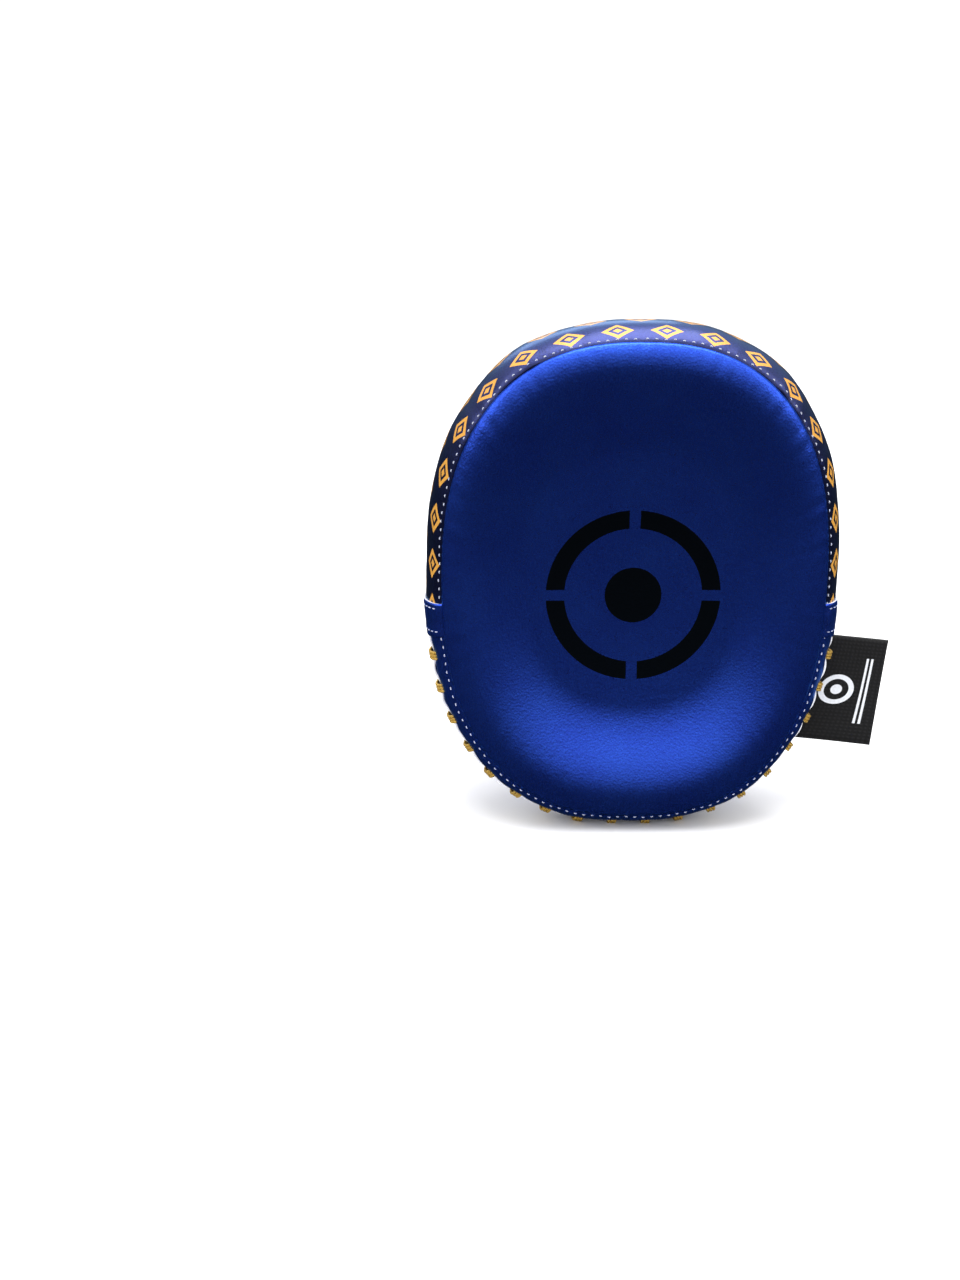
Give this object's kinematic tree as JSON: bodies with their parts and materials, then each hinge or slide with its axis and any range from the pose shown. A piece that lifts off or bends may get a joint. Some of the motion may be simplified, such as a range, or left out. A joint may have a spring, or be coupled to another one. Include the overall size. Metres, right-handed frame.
{
  "type": "boxing focus mitt",
  "caption": "Right-hand curved oval punch mitt in metallic leather: padded striking face, laced cuff band, four lapped finger sleeves on the back and a folding side label.",
  "frame": {"origin": "middle of the hand pocket, on the crown of the domed back panel", "axes": "+Z towards the finger end, -Y out of the striking face, +X towards the index finger and the label"},
  "size_m": [0.2178, 0.1098, 0.2375],
  "materials": {
    "metallic_leather": "satin metallic coated leather, fine grain",
    "printed_leather": "satin coated leather with a small gold repeat print",
    "gold_cord": "twisted gold waxed cord",
    "white_thread": "bonded sewing thread",
    "foam": "closed-cell and soft padding foam",
    "woven_label": "folded woven ribbon"
  },
  "bodies": {
    "root": {"striking_face_panel": "metallic_leather", "back_panel": "metallic_leather", "printed_side_band": "printed_leather", "right_seam_tab": "metallic_leather", "left_seam_tab": "metallic_leather", "cuff_band_front": "metallic_leather", "cuff_band_back": "metallic_leather", "cuff_gusset": "metallic_leather", "gold_lacing": "gold_cord", "rim_roll_foam": "foam", "impact_foam": "foam", "shock_core_foam": "foam", "back_foam": "foam", "palm_patch": "metallic_leather", "little_finger_sleeve": "metallic_leather", "ring_finger_sleeve": "metallic_leather", "middle_finger_sleeve": "metallic_leather", "index_finger_sleeve": "metallic_leather", "face_seam_thread": "white_thread", "back_seam_thread": "white_thread", "label_sewn_edge": "woven_label"},
    "label_flap": {"side_label": "woven_label"}
  },
  "joints": [
    {"name": "label_fold", "type": "hinge", "parent": "root", "child": "label_flap", "pos_m": [0.08189, -0.03825, -0.078], "axis": [0.2941, 0, 0.9558], "range_deg": [-55, 75]}
  ]
}
